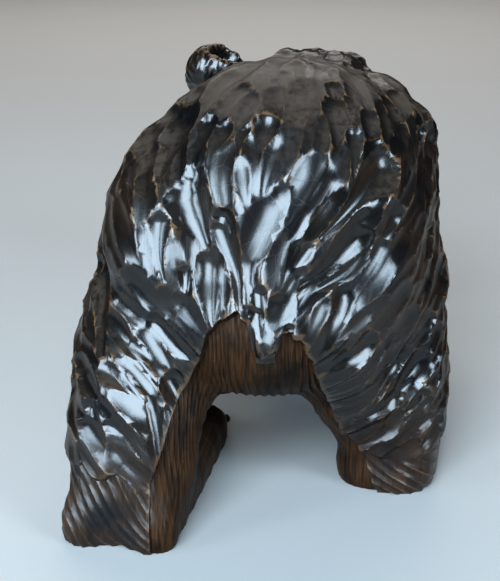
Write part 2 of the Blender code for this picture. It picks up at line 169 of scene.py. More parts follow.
# Body masses: centre and radii
BODY = (
    ((0.030, 0.190, 0.650), (0.430, 0.225, 0.325)),     # hips
    ((0.030, 0.250, 0.600), (0.380, 0.172, 0.215)),     # rump above the tail
    ((-0.170, 0.140, 0.700), (0.235, 0.200, 0.230)),    # right hip
    ((0.024, 0.000, 0.640), (0.375, 0.250, 0.290)),     # loin
    ((0.020, -0.180, 0.605), (0.365, 0.170, 0.290)),    # shoulders
    ((0.130, -0.190, 0.805), (0.100, 0.110, 0.108)),    # hump, flat on top
    ((0.035, -0.190, 0.805), (0.110, 0.120, 0.108)),
    ((-0.065, -0.190, 0.805), (0.100, 0.110, 0.108)),
    ((0.040, -0.280, 0.540), (0.285, 0.125, 0.250)),    # chest
    ((0.020, 0.000, 0.500), (0.300, 0.240, 0.200)),     # belly
    ((0.290, 0.225, 0.530), (0.255, 0.200, 0.330)),     # left haunch
    ((-0.190, 0.200, 0.500), (0.217, 0.190, 0.330)),    # right haunch
    ((0.060, 0.345, 0.440), (0.320, 0.110, 0.192)),     # seat, over the arch of the hind legs
    ((-0.160, 0.300, 0.400), (0.150, 0.110, 0.190)),    # inner side of the right thigh
)

# Limbs and neck: places with a radius, as a share of the width, from the trunk outwards
LIMBS = (
    ((0.290, 0.235, 0.520, 0.272), (0.352, 0.335, 0.360, 0.222), (0.370, 0.405, 0.230, 0.195),
     (0.366, 0.435, 0.100, 0.182)),
    ((-0.200, 0.185, 0.520, 0.232), (-0.258, 0.225, 0.360, 0.194), (-0.282, 0.250, 0.230, 0.174),
     (-0.290, 0.255, 0.100, 0.168)),
    ((-0.080, 0.335, 0.430, 0.140), (-0.172, 0.312, 0.270, 0.142), (-0.230, 0.275, 0.140, 0.120)),
    ((0.235, -0.190, 0.520, 0.200), (0.245, -0.220, 0.330, 0.170), (0.265, -0.262, 0.120, 0.148)),
    ((-0.205, -0.175, 0.520, 0.200), (-0.215, -0.168, 0.330, 0.165), (-0.240, -0.130, 0.120, 0.146)),
    ((0.040, -0.240, 0.640, 0.275), (0.200, -0.305, 0.640, 0.250), (0.290, -0.318, 0.625, 0.228)),
)

# Paws: middle of the sole, half width and half length, turn in degrees, roundness of the heel
PAWS = (
    ((0.362, 0.357), 0.182, 0.174, -3, 0.48),
    ((-0.298, 0.197), 0.170, 0.145, -5, 0.78),
    ((0.272, -0.300), 0.155, 0.108, 6, 0.65),
    ((-0.245, -0.165), 0.155, 0.108, -8, 0.65),
)
PAW_RISE = 0.125        # height of a paw's back, as a share of the height
TOES = 5
CLAW = (0.0042, 0.0115, 0.0048)     # half width, half length and half height of a claw, in metres
CLAW_DROOP = math.radians(22)

# Tail: root and tip, with half width and half thickness as shares of the width
TAIL = ((0.010, 0.398, 0.600, 0.085, 0.045), (0.014, 0.446, 0.455, 0.036, 0.034))

# Outline of the tail from behind
TAIL_MIDDLE = 0.014
TAIL_TIP = 0.408
TAIL_ROUND = 12.0       # how round the tip is
TAIL_NARROW = (0.42, 0.021)     # a height near the tip, and the half width there
TAIL_WIDENS = 0.30      # how fast it widens above that
TAIL_FRONT = 0.38       # the tail and the lobes beside it lie behind this
TAIL_TOP = 0.60         # and the tail below this

# Hem of the long fur over the bare ground behind: places across the width, and its height there
HEM = ((-0.27, 0.0), (-0.22, 0.13), (-0.17, 0.19), (-0.12, 0.34), (-0.10, 0.42), (-0.07, 0.474),
       (-0.03, 0.490), (0.05, 0.510), (0.09, 0.524), (0.13, 0.514), (0.165, 0.475), (0.18, 0.42),
       (0.25, 0.29), (0.285, 0.17), (0.285, 0.0))
HEM_SCALLOP = 0.014     # how far the tufts' ends make it rise and fall
HEM_TUFTS = (60.0, 45.0)        # how fast they do so over the width and the height, in radians
HEM_EDGE = 0.0016       # width of the step down from the fur, in metres
BARE_BACK = (0.25, 0.06)        # bare ground lies behind this, fading over the second share,
BARE_UNDER = (0.40, 0.06)       # or below this,
BARE_FRONT = (-0.30, 0.15)      # and nowhere in front of this

# Lower end of the fur on the legs: its height on the left and the right ones, and its tufts
LOW_EDGE = (0.190, 0.125)
LOW_SCALLOP = 0.022
LOW_TUFTS = 31.0
LOW_FADE = 0.010

# The back, where the cuts are shallow: heights where it starts and is reached in full
BACK = (0.80, 0.95)

# Camera, in the bear's own frame, which the finished piece leaves for the CAD frame
CAMERA_PLACE = (-0.068, 0.695, 0.326)
CAMERA_TURN = (math.radians(70), 0.0, math.radians(189))
FOCAL_PIXELS = 1055     # focal length, in the photograph's pixels
LONG_SIDE = 581         # and the photograph's long side
SENSOR = 36.0           # the sensor's long side, in millimetres

# Finish of the wood: the share of each colour that it reflects, and patterns to the metre
LACQUER = ((0.0010, 0.0009, 0.0011), (0.0034, 0.0025, 0.0018))    # thick and thin
BROWN = ((0.0050, 0.0022, 0.0010), (0.0260, 0.0108, 0.0040))   # dark and light streaks
WORN = (0.056, 0.030, 0.014)    # ridges
DUST = (0.0240, 0.0170, 0.0122)
STREAKS = (900.0, 45.0, 0.0)    # across and along a cut
CLOUDS = 38.0
GRAIN = 260.0
PORES = 900.0
SCRATCHES = 75.0
SHEEN = (0.15, 0.24)    # roughness of the smoothest and the roughest cuts
LACQUER_IOR = 1.40
BUMP = (0.14, 0.0006)   # strength and height of the fine unevenness

# Room: the floor's paint, the lights' colours and the light from all round
FLOOR_SIZE = 8.0
FLOOR_DROP = 0.0004     # the floor lies this far under the soles
FLOOR_PAINT = (0.170, 0.166, 0.159)
COOL = (0.64, 0.83, 1.0)
WARM = (1.0, 0.97, 0.93)
ROOM = (0.80, 0.80, 0.82)
ROOM_STRENGTH = 0.025
BEAR_MIDDLE = (0.0, 0.12, 0.13)

# Lights: name, place, what they face, width and height, watts and colour
LIGHTS = (
    ("window", (0.26, 1.36, 0.92), BEAR_MIDDLE, (1.00, 1.28), 134.0, COOL),
    ("left_window", (1.30, 0.95, 0.80), BEAR_MIDDLE, (0.35, 0.80), 28.0, COOL),
    ("right_window", (-1.30, 0.85, 0.80), BEAR_MIDDLE, (0.50, 0.80), 42.0, COOL),
    ("front_light", (0.4, -2.7, 2.7), (0.0, -1.4, 0.0), (3.0, 3.0), 215.0, WARM),
)


def at(x, y, z):
    """A place or a set of radii given as shares of width, length and height."""
    return Vector((x * WIDTH, y * LENGTH, z * HEIGHT))


def ball(bm, matrix, radii, rounds=24):
    """An ellipsoid of the given radii, in the frame of the matrix."""
    stretch = Matrix.Diagonal((*radii, 1.0))
    sphere = bmesh.new()
    bmesh.ops.create_uvsphere(sphere, u_segments=rounds, v_segments=rounds // 2, radius=1.0,
                              matrix=matrix @ stretch)
    mesh = bpy.data.meshes.new("ball")
    sphere.to_mesh(mesh)
    sphere.free()
    bm.from_mesh(mesh)
    bpy.data.meshes.remove(mesh)


def between(first, second, steps):
    """The stations on the way from one row of values to another."""
    for number in range(steps + 1):
        yield [a + (b - a) * number / steps for a, b in zip(first, second)]


def limb(bm, stations):
    """Balls strung closely between stations, each a place and a radius."""
    for first, second in zip(stations, stations[1:]):
        for x, y, z, radius in between(first, second, 7):
            ball(bm, Matrix.Translation(at(x, y, z)), [radius * WIDTH] * 3, 16)


def paw(bm, middle, half_width, half_length, turn, heel):
    """A flat-soled paw with a row of toes in front, each with a claw."""
    place = Matrix.Translation(at(*middle, 0.0)) @ Matrix.Rotation(math.radians(turn), 4, "Z")
    wide, far, high = half_width * WIDTH, half_length * LENGTH, PAW_RISE * HEIGHT
    ball(bm, place @ Matrix.Translation((0, 0, high * 0.30)), (wide * 0.96, far * 0.97, high))
    front, back = wide * 0.46, wide * heel
    for side in (-1, 1):
        fore = (side * (wide - front), -(far - front), front)
        rear = (side * (wide - back), far - back, back)
        for x, y, corner in between(fore, rear, 6):
            ball(bm, place @ Matrix.Translation((x, y, high * 0.2)), (corner, corner, high * 0.8), 16)
    for toe in range(TOES):
        side = 2 * toe / (TOES - 1) - 1
        spread = side * wide * 0.74
        reach = -far * (0.93 - 0.13 * side * side)
        toe_place = place @ Matrix.Translation((spread, reach, high * 0.30))
        ball(bm, toe_place, (wide * 0.23, wide * 0.36, high * 0.55), 16)
        tip = toe_place @ Matrix.Translation((0, -wide * 0.36, high * 0.05))
        ball(bm, tip @ Matrix.Rotation(CLAW_DROOP, 4, "X"), CLAW, 12)


def new_object(name, bm):
    """Turn a bmesh into an object of the scene."""
    mesh = bpy.data.meshes.new(name)
    bm.to_mesh(mesh)
    bm.free()
    thing = bpy.data.objects.new(name, mesh)
    bpy.context.scene.collection.objects.link(thing)
    return thing


def settle(thing):
    """Replace an object's mesh by its evaluated one and drop its modifiers."""
    graph = bpy.context.evaluated_depsgraph_get()
    mesh = bpy.data.meshes.new_from_object(thing.evaluated_get(graph))
    thing.modifiers.clear()
    thing.data = mesh


def blend(thing, voxel, rounds):
    """Fuse an object's overlapping shells and smooth the joins between them."""
    fuse = thing.modifiers.new("Fuse", "REMESH")
    fuse.mode = "VOXEL"
    fuse.voxel_size = voxel
    soften = thing.modifiers.new("Soften", "SMOOTH")
    soften.factor = 0.5
    soften.iterations = rounds
    settle(thing)


def head_frame():
    """Where the head's own forms stand: its middle, turned as the head is."""
    return Matrix.Translation(at(*HEAD_PLACE)) @ Euler(HEAD_TURN).to_matrix().to_4x4()


def head_ball(bm, place, radii, rounds=24):
    """An ellipsoid placed and sized in units of the head."""
    stand = head_frame() @ Matrix.Translation(Vector(place) * HEAD)
    ball(bm, stand, [radius * HEAD for radius in radii], rounds)


def head_masses(bm):
    """Skull, brow, muzzle, jaw and cheeks."""
    head_ball(bm, (0.0, 0.02, 0.00), (0.430, 0.430, 0.385))
    head_ball(bm, (0.0, -0.19, 0.10), (0.310, 0.250, 0.220))
    head_ball(bm, (0.0, -0.44, -0.09), (0.220, 0.270, 0.190))
    head_ball(bm, (0.0, -0.62, -0.10), (0.185, 0.165, 0.155))
    head_ball(bm, (0.0, -0.42, -0.23), (0.175, 0.260, 0.120))
    for side in (-1, 1):
        head_ball(bm, (0.20 * side, -0.06, -0.15), (0.225, 0.290, 0.230))
        head_ball(bm, (0.24 * side, 0.08, 0.22), (0.200, 0.200, 0.170))


def head_details(bm):
    """Nose pad, eyes and upper lids."""
    head_ball(bm, (0.0, -0.745, -0.030), (0.095, 0.055, 0.065), 16)
    for side in (-1, 1):
        head_ball(bm, (0.195 * side, -0.375, 0.095), (0.050, 0.042, 0.044), 16)
        head_ball(bm, (0.195 * side, -0.350, 0.140), (0.085, 0.075, 0.036), 16)


def ear(side):
    """A thick round cup: a flattened ball with a smaller one scooped out of it."""
    out, back, up = EAR
    pitch, lean = EAR_TURN
    stand = head_frame() @ Matrix.Translation(Vector((out * side, back, up)) * HEAD)
    stand = stand @ Euler((pitch, lean * side, 0)).to_matrix().to_4x4()
    shell = bmesh.new()
    ball(shell, stand, [radius * HEAD for radius in EAR_SHELL])
    hollow = bmesh.new()
    ball(hollow, stand @ Matrix.Translation((0, 0, EAR_HOLLOW_RISE * HEAD)),
         [radius * HEAD for radius in EAR_HOLLOW])
    cup = new_object("ear", shell)
    cutter = new_object("hollow", hollow)
    cut = cup.modifiers.new("Scoop", "BOOLEAN")
    cut.operation = "DIFFERENCE"
    cut.object = cutter
    settle(cup)
    bpy.data.objects.remove(cutter)
    return cup


def add_object(bm, thing):
    """Take another object's mesh into a bmesh and remove the object."""
    bm.from_mesh(thing.data)
    bpy.data.objects.remove(thing)


def base_form():
    """The uncarved bear: masses fused and smoothed, then the small forms fused on."""
    masses = bmesh.new()
    for centre, radii in BODY:
        ball(masses, Matrix.Translation(at(*centre)), at(*radii), 40)
    for stations in LIMBS:
        limb(masses, stations)
    for middle, half_width, half_length, turn, heel in PAWS:
        paw(masses, middle, half_width, half_length, turn, heel)
    head_masses(masses)
    body = new_object("bear_form", masses)
    blend(body, COARSE, SMOOTHING[0])

    details = bmesh.new()
    for x, y, z, half_width, half_thick in between(*TAIL, 8):
        ball(details, Matrix.Translation(at(x, y, z)),
             (half_width * WIDTH, half_thick * WIDTH, half_width * WIDTH), 16)
    for middle, half_width, half_length, turn, heel in PAWS:
        paw(details, middle, half_width * 0.97, half_length * 0.98, turn, heel)
    head_details(details)
    for side in (-1, 1):
        add_object(details, ear(side))
    add_object(details, body)
    body = new_object("carved_bear", details)
    blend(body, FINE, SMOOTHING[1])
    return body


def vertex_arrays(mesh):
    """Vertex places and normals as arrays."""
    count = len(mesh.vertices)
    places = np.empty(count * 3)
    normals = np.empty(count * 3)
    mesh.vertices.foreach_get("co", places)
    mesh.vertices.foreach_get("normal", normals)
    return places.reshape(count, 3), normals.reshape(count, 3)


def step(value, low, high):
    """0 below the low end, 1 above the high end, and a smooth step between them."""
    share = min(max((value - low) / (high - low), 0.0), 1.0)
    return share * share * (3.0 - 2.0 * share)


def top_share(height):
    """1 on the back, 0 below it."""
    return step(height, *BACK)


def tail_outline(x, z):
    """How far inside the tail's outline a place lies from behind, in metres."""
    narrow_height, narrow = TAIL_NARROW
    half_width = narrow + TAIL_WIDENS * (z - narrow_height)
    tip = TAIL_TIP + TAIL_ROUND * (x - TAIL_MIDDLE) ** 2
    return np.minimum((half_width - np.abs(x - TAIL_MIDDLE)) * WIDTH, (z - tip) * HEIGHT)


def on_tail(x, y, z):
    """True on the short tail, a tongue that hangs between two bare lobes."""
    return (y > TAIL_FRONT) & (z < TAIL_TOP) & (tail_outline(x, z) > 0.0)


def bare_share(x, y, z):
    """1 under the tail and inside the legs, where the ground lies back; 0 on the long fur."""
    tufts = np.abs(np.sin(HEM_TUFTS[0] * x + HEM_TUFTS[1] * z))
    hem = np.interp(x, *zip(*HEM)) - HEM_SCALLOP * tufts
    below_hem = (hem - z) * HEIGHT / HEM_EDGE
    beside_tail = np.where(y > TAIL_FRONT, -tail_outline(x, z) / HEM_EDGE, 1.0)
    behind = np.maximum((y - BARE_BACK[0]) / BARE_BACK[1], (BARE_UNDER[0] - z) / BARE_UNDER[1])
    front = (y - BARE_FRONT[0]) / BARE_FRONT[1]
    least = np.minimum(np.minimum(below_hem, beside_tail), np.minimum(behind, front))
    return np.clip(least, 0.0, 1.0)


def bare(x, y, z):
    """True where the ground lies back and is cut in narrow grooves."""
    return bare_share(x, y, z) > 0.5


def shares(place):
    """A place as shares of width, length and height."""
    return place[0] / WIDTH, place[1] / LENGTH, place[2] / HEIGHT


def low_share(x, z):
    """1 on the shins and paws below the fur, 0 above."""
    edge = np.where(x > 0.0, *LOW_EDGE) - LOW_SCALLOP * np.abs(np.sin(LOW_TUFTS * x + 1.0))
    return np.clip((edge - z) / LOW_FADE, 0.0, 1.0)


def scallop(phase):
    """Depth of grooves side by side, 0 on the sharp ridges between them and 1 in the middle."""
    return 1.0 - (2.0 * (phase - np.floor(phase)) - 1.0) ** 2


def ground(places):
    """Height of the ground that the fur's cuts leave alone, with its long grooves.

    The grooves hang under the tail and inside the legs, and slant over the shins. Their lines
    wander in waves, of which the numbers are radians to the metre. They are shallower in front and
    low on the heels.
    """
    x, y, z = places
    across, along, up = shares(places)
    hollow, low = bare_share(across, along, up), low_share(across, up)
    spacing, deep = FLUTE
    wander = 0.35 * np.sin(70.0 * z + 45.0 * x) + 0.15 * np.sin(160.0 * z - 80.0 * x + 60.0 * y)
    from_tail = across - TAIL_MIDDLE
    side = np.sign(from_tail) * np.clip(np.abs(from_tail) / GROOVES_TURN - 1.0, 0.0, 1.0)
    hanging = scallop((x + (y - SEAT) * side) / spacing + wander)
    slanting = scallop(0.707 * (x - z) / spacing + 0.5 * np.sin(60.0 * (x + z)) + 0.5 * wander)
    hind_legs = np.where(along > CALM_FRONT[0], 1.0, CALM_FRONT[1])
    heel, fade, loss = CALM_HEEL
    over_heel = 1.0 - loss * np.clip((heel - up) / fade, 0.0, 1.0)
    inner = (BARE_DEPTH + deep * hanging * hind_legs * over_heel) * hollow
    return -inner - (LOW_DEPTH + deep * slanting * hind_legs) * low * (1.0 - hollow)


def cut_size(x, y, z, head):
    """Width, length and depth of the cuts at a place, and how far they are sunk.

    The face's cuts are sunk by as much as the fur is lifted, so that the face keeps its form. The
    others are smaller on the ears, the head and the tail, to the right, low down and in front.
    """
    on_head = head.length < HEAD_REACH
    if on_head and head.y < FACE_BACK:
        return FACE, LIFT
    if on_head and head.y < NAPE:
        on_ear = abs(head.x) > EAR_AREA[0] and head.z > EAR_AREA[1]
        size = EAR_CUTS if on_ear else HEAD_CUTS
    elif on_tail(x, y, z):
        size = TAIL_CUTS[0] + TAIL_CUTS[1] * step(z, 0.50, 0.58)
    else:
        size = 1.0 - LESS_RIGHT * step(-x, 0.10, 0.40) - LESS_LOW * step(0.60 - z, 0.0, 0.36)
        size = min(size, 1.0 - LESS_FRONT * step(-y, 0.0, 0.2))
    top = top_share(z)
    width, length, depth = (value * size for value in BROAD)
    return (width * (1.0 - 0.12 * top), length * (1.0 + 0.1 * top),
            depth * (1.0 - top + TOP_DEPTH * top)), 0.0


def smooth_spots(place, head):
    """True on the eyes, the nose and the soles, which stay uncut."""
    from_eye = (abs(head.x) - EYE[0], head.y - EYE[1], head.z - EYE[2])
    eyes = all(abs(offset) < reach for offset, reach in zip(from_eye, EYE_REACH))
    return head.y < NOSE_FRONT or eyes or place[2] < SOLE * HEIGHT


def flow(place, normal):
    """The way the hair lies: out and back on top, down the rump, inwards above the legs.

    Where it would run straight into or out of the wood, it runs down.
    """
    x, y, z = shares(place)
    fall = 0.55 + 1.2 * max(0.0, 0.55 - z)
    middle = 0.02 + 0.20 * (step(z, 0.50, 0.66) - step(z, 0.74, 0.86))
    outwards = 1.8 * step(z, 0.78, 0.95)
    inwards = 0.8 * step(0.86 - z, 0.0, 0.12) + 2.2 * step(0.62 - z, 0.0, 0.20)
    inwards *= step(normal[1], 0.0, 0.5)
    side = min(max((x - middle) * (outwards - inwards), -1.0), 1.0)
    way = Vector((side, 1.0, -fall))
    along = way - normal * way.dot(normal)
    if along.length < SHORT:
        along = DOWN - normal * DOWN.dot(normal)
    return along.normalized()


def crowded(grid, key, place, axes, width, length):
    """True where an accepted cut already lies within the spacing of a new one."""
    normal, along, across = axes
    for move in NEIGHBOURS:
        for other in grid.get((key[0] + move[0], key[1] + move[1], key[2] + move[2]), ()):
            offset = place - other["place"]
            u = offset.dot(along) / (SPACING[1] * (length + other["length"]) / 2)
            v = offset.dot(across) / (SPACING[0] * (width + other["width"]) / 2)
            n = offset.dot(normal) / THROUGH
            if u * u + v * v + n * n < 1.0:
                return True
    return False


def plan_cuts(places, normals, dice):
    """Scatter cuts over the surface, spaced by their own width and length."""
    order = list(range(len(places)))
    dice.shuffle(order)
    to_head = head_frame().inverted()
    grid = {}
    cuts = []
    for index in order:
        place, normal = Vector(places[index]), Vector(normals[index])
        head = to_head @ place / HEAD
        x, y, z = shares(place)
        if smooth_spots(place, head) or bare(x, y, z) or low_share(x, z) > 0.5:
            continue
        size, sunk = cut_size(x, y, z, head)
        width, length, depth = size
        along = flow(place, normal)
        across = normal.cross(along)
        over_edge = sunk == 0.0 and bare(*shares(place + along * length * TIP_REACH))
        key = tuple(int(math.floor(value / CELL)) for value in place)
        if over_edge or crowded(grid, key, place, (normal, along, across), width, length):
            continue
        grow = dice.uniform(*GROW)
        lean = Matrix.Rotation(dice.uniform(-LEAN, LEAN), 3, normal)
        cut = {"place": place, "normal": normal, "along": lean @ along, "across": lean @ across,
               "width": width * grow, "length": length * grow * dice.uniform(*LONGER),
               "depth": depth * dice.uniform(*DEEPER), "sunk": sunk, "steep": dice.uniform(*STEEP),
               "roll": dice.uniform(-ROLL, ROLL) if sunk == 0.0 else 0.0, "hollow": 1.0,
               "bend": dice.uniform(-BEND, BEND)}
        if sunk == 0.0:
            top = top_share(z)
            cut["hollow"] = HOLLOW * dice.uniform(*ROUNDER) * (1.0 - top + TOP_HOLLOW * top)
        grid.setdefault(key, []).append(cut)
        cuts.append(cut)
    return cuts


def within(u, v, away):
    """True where a scoop is worked out: along it, across it, and away from it through the wood."""
    return ((np.abs(away) < THROUGH) & (u > ALONG_SPAN[0]) & (u < ALONG_SPAN[1])
            & (np.abs(v) < ACROSS_SPAN))


def level(place, nearby):
    """Height that the cuts nearby leave at a place."""
    heights = [0.0]
    for cut in nearby:
        offset = place - cut["place"]
        u = offset.dot(cut["along"]) / cut["length"] + MIDDLE
        v = offset.dot(cut["across"]) / cut["width"]
        if within(u, v, offset.dot(cut["normal"])):
            heights.append(float(scoop(cut, u, v)))
    return min(heights)


def add_leaves(cuts, dice, kind, bites, counts):
    """The cuts, and leaves cut one after another into what the cuts before them left.

    The leaves are smaller in small cuts, and shallower along the back.
    """
    width, length, depth = kind
    made = list(cuts)
    for cut in cuts:
        if cut["sunk"] != 0.0 or cut["width"] < LEAFLESS * BROAD[0]:
            continue
        nearby = [other for other in made if (other["place"] - cut["place"]).length < NEARBY]
        share = min(cut["width"] / (FULL_LEAVES * BROAD[0]), 1.0)
        top = top_share(cut["place"].z / HEIGHT)
        for _ in range(dice.choice(counts)):
            side = dice.choice((-1, 1)) * dice.uniform(*LEAF_ASIDE) * cut["width"]
            place = cut["place"] + cut["across"] * side
            place += cut["along"] * dice.uniform(*LEAF_DOWN) * cut["length"]
            grow = dice.uniform(*LEAF_GROW) * share
            deep = depth * grow * (1.0 - LESS_TOP[0] * top)
            bite = dice.uniform(*bites) * (1.0 - LESS_TOP[1] * top)
            leaf = dict(cut, place=place, width=width * grow, depth=deep,
                        length=length * grow * dice.uniform(*LEAF_LONGER),
                        sunk=bite - level(place, nearby) - MIDDLE_DEPTH * deep,
                        roll=dice.uniform(-ROLL, ROLL),
                        hollow=LEAF_HOLLOW * dice.uniform(*LEAF_ROUNDER),
                        bend=dice.uniform(-BEND, BEND))
            nearby.append(leaf)
            made.append(leaf)
    return made


def scoop(cut, u, v):
    """Height of a scoop's floor; u runs from 0 at its upper end to 1 at its lower end, v across it.

    It is a round trough with a round steep upper end. Its floor rises slowly to the lower end,
    which so stands proud over the start of the next one like a shingle.
    """
    upper = np.clip(HEAD_SHARE - u, 0.0, None) * cut["steep"] * cut["length"] / cut["width"]
    floor = np.clip((u - HEAD_SHARE) / (FOOT_SHARE - HEAD_SHARE), 0.0, None) ** FOOT_CURVE
    v = v - cut["bend"] * ((u - MIDDLE) ** 2 - BEND_LEVEL)
    narrow = 1.0 + TAPER * np.clip(u - TAPER_FROM, 0.0, None) ** 2
    trough = cut["hollow"] * cut["width"] * (narrow * v ** 2 + upper ** 2)
    return cut["depth"] * (floor - 1.0) + trough + cut["roll"] * v * cut["width"] - cut["sunk"]


def carving(places, normals, cuts):
    """Height of the lowest scoop over each vertex or of the ground there, and which cut it is."""
    order = np.argsort(places[:, 1])
    x, y, z = (np.ascontiguousarray(column) for column in places[order].T)
    sorted_normals = normals[order]
    lowest = ground((x, y, z))
    which = np.full(len(places), -1)
    for number, cut in enumerate(cuts):
        place, reach = cut["place"], cut["length"] * REACH
        low, high = np.searchsorted(y, (place.y - reach, place.y + reach))
        index = low + np.flatnonzero(np.abs(z[low:high] - place.z) < reach)
        index = index[np.abs(x[index] - place.x) < reach]
        offset = np.stack((x[index] - place.x, y[index] - place.y, z[index] - place.z), axis=1)
        u = offset @ np.array(cut["along"]) / cut["length"] + MIDDLE
        v = offset @ np.array(cut["across"]) / cut["width"]
        facing = sorted_normals[index] @ np.array(cut["normal"])
        near = within(u, v, offset @ np.array(cut["normal"])) & (facing > FACING)
        index = index[near]
        made = scoop(cut, u[near], v[near])
        below = made < lowest[index]
        which[index] = np.where(below, number, which[index])
        lowest[index] = np.where(below, made, lowest[index])
    back = np.empty(len(places), dtype=int)
    back[order] = np.arange(len(places))
    return lowest[back], which[back]


def subdivide(body, levels):
    """Round the planning mesh off into one fine enough to carve."""
    smooth = body.modifiers.new("Finer", "SUBSURF")
    smooth.levels = smooth.render_levels = levels
    settle(body)


def simplify(body):
    """Fewer, larger facets, which follow the ridges of the carving."""
    triangles = 2.0 * len(body.data.polygons)
    fewer = body.modifiers.new("Fewer", "DECIMATE")
    fewer.ratio = TRIANGLES / triangles
    settle(body)


def drop_crumbs(bm):
    """Keep the largest connected body alone."""
    left = set(bm.verts)
    bodies = []
    while left:
        body = [left.pop()]
        for vertex in body:
            for edge in vertex.link_edges:
                other = edge.other_vert(vertex)
                if other in left:
                    left.remove(other)
                    body.append(other)
        bodies.append(body)
    bodies.sort(key=len)
    for body in bodies[:-1]:
        bmesh.ops.delete(bm, geom=body, context="VERTS")


def flatten_soles(body):
    """Cut the soles flat on the ground."""
    bm = bmesh.new()
    bm.from_mesh(body.data)
    for vertex in bm.verts:
        if abs(vertex.co.z) < SOLE_SNAP:
            vertex.co.z = 0.0
    cut = bmesh.ops.bisect_plane(bm, geom=bm.verts[:] + bm.edges[:] + bm.faces[:], dist=1e-6,
                                 plane_co=(0, 0, 0), plane_no=(0, 0, 1), clear_inner=True)
    rim = [item for item in cut["geom_cut"] if isinstance(item, bmesh.types.BMEdge)]
    bmesh.ops.holes_fill(bm, edges=rim)
    drop_crumbs(bm)
    bmesh.ops.triangulate(bm, faces=bm.faces[:])
    bm.to_mesh(body.data)
    bm.free()


def carved_bear():
    """The finely carved bear in its own frame, with what its looks need to know of the cuts."""
    body = base_form()
    dice = random.Random(SEED)
    places, normals = vertex_arrays(body.data)
    cuts = plan_cuts(places, normals, dice)
    cuts = add_leaves(cuts, dice, LEAF, LEAF_BITE, LEAF_COUNTS)
    cuts = add_leaves(cuts, dice, SLIVER, SLIVER_BITE, SLIVER_COUNTS)
    subdivide(body, LEVELS)
    places, normals = vertex_arrays(body.data)
    lowest, which = carving(places, normals, cuts)
    lift = LIFT * np.clip(places[:, 2] / (LIFT_FROM * HEIGHT), 0.0, 1.0)
    moved = places + normals * (lowest + lift)[:, None]
    body.data.vertices.foreach_set("co", moved.ravel())
    body.data.update()
    simplify(body)
    flatten_soles(body)
    record_cuts(body, moved, which, cuts)
    return body


def convexity(mesh):
    """How far each vertex stands out of its neighbours, as the mean slope down to them."""
    places, normals = vertex_arrays(mesh)
    ends = np.empty(len(mesh.edges) * 2, dtype=int)
    mesh.edges.foreach_get("vertices", ends)
    first, second = ends.reshape(-1, 2).T
    way = places[first] - places[second]
    length = np.linalg.norm(way, axis=1)
    total = np.zeros(len(places))
    count = np.bincount(ends, minlength=len(places))
    for here, sign in ((first, 1.0), (second, -1.0)):
        slope = sign * np.einsum("ij,ij->i", way, normals[here]) / length
        total += np.bincount(here, slope, minlength=len(places))
    return total / np.maximum(count, 1)


def record_cuts(body, fine_places, which, cuts):
    """Keep how far each vertex is a ridge, and each cut's own shade and coordinates."""
    tree = KDTree(len(fine_places))
    for index, place in enumerate(fine_places):
        tree.insert(place, index)
    tree.balance()
    mesh = body.data
    ridge = mesh.attributes.new("ridge", "FLOAT", "POINT")
    ridge.data.foreach_set("value", convexity(mesh))

    owner = np.array([which[tree.find(face.center)[1]] for face in mesh.polygons])
    chance = random.Random(SEED + 1)
    shade = [chance.random() for _ in range(len(cuts) + 1)]
    tone = mesh.attributes.new("tone", "FLOAT", "FACE")
    tone.data.foreach_set("value", [shade[number] for number in owner])
    along = np.array([cut["along"] for cut in cuts] + [(0, 0, 1)])[owner]
    across = np.array([cut["across"] for cut in cuts] + [(1, 0, 0)])[owner]
    corners = np.empty(len(mesh.loops), dtype=int)
    mesh.loops.foreach_get("vertex_index", corners)
    corner_places = vertex_arrays(mesh)[0][corners].reshape(-1, 3, 3)
    u = np.einsum("fcx,fx->fc", corner_places, across)
    v = np.einsum("fcx,fx->fc", corner_places, along)
    uvs = np.stack([u + owner[:, None] * UV_SHIFT, v], axis=2)
    mesh.uv_layers.new(name="gouge").data.foreach_set("uv", uvs.ravel())


def place_in_frame(body):
    """Set the bear on the middle of the solid's box, drawn in where it is larger; give the move."""
    places = vertex_arrays(body.data)[0]
    own_low, own_high = places.min(axis=0), places.max(axis=0)
    low, high = (np.array(corner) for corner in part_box("bear"))
    size = np.minimum(INSIDE * (high - low) / (own_high - own_low), 1.0)
    shift = Vector((*((low + high) / 2 - size * (own_low + own_high) / 2)[:2], 0.0))
    body.data.transform(Matrix.Translation(shift) @ Matrix.Diagonal((*size, 1.0)))
    return shift


